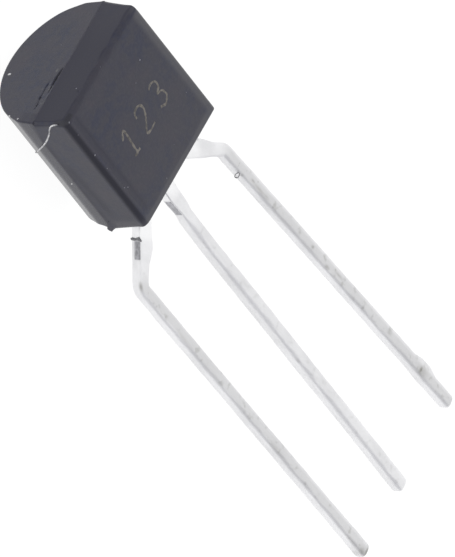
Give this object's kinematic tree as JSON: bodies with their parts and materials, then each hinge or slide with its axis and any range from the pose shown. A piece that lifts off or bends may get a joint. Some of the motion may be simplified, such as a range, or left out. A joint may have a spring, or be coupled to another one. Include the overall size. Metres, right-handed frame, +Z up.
{
  "type": "to-92 transistor",
  "caption": "Small through-hole transistor: a D-shaped dark moulded body with a flat face, and three splayed tin-plated leads that end side by side.",
  "frame": {"origin": "centre of the bounding box's underside, on the floor that the part lies on", "axes": "+Z up, out of the flat face but for the rest tilt; +Y along the leads, from the body's top to the lead tips; +X across the body, towards the collector lead"},
  "size_m": [0.0062, 0.0192, 0.004],
  "materials": {
    "moulding_compound": "fine matt spark-eroded mould finish, filled epoxy moulding compound",
    "tinned_lead": "copper alloy, dull tin plating with fine draw lines",
    "silicon": "polished top, sawn sides",
    "die_attach": "silver-filled adhesive, dull",
    "gold_wire": "drawn gold, bright"
  },
  "bodies": {
    "root": {"moulded_body": "moulding_compound", "collector_lead": "tinned_lead", "base_lead": "tinned_lead", "emitter_lead": "tinned_lead", "silicon_die": "silicon", "die_attach": "die_attach", "base_bond_wire": "gold_wire", "emitter_bond_wire": "gold_wire"}
  },
  "joints": []
}
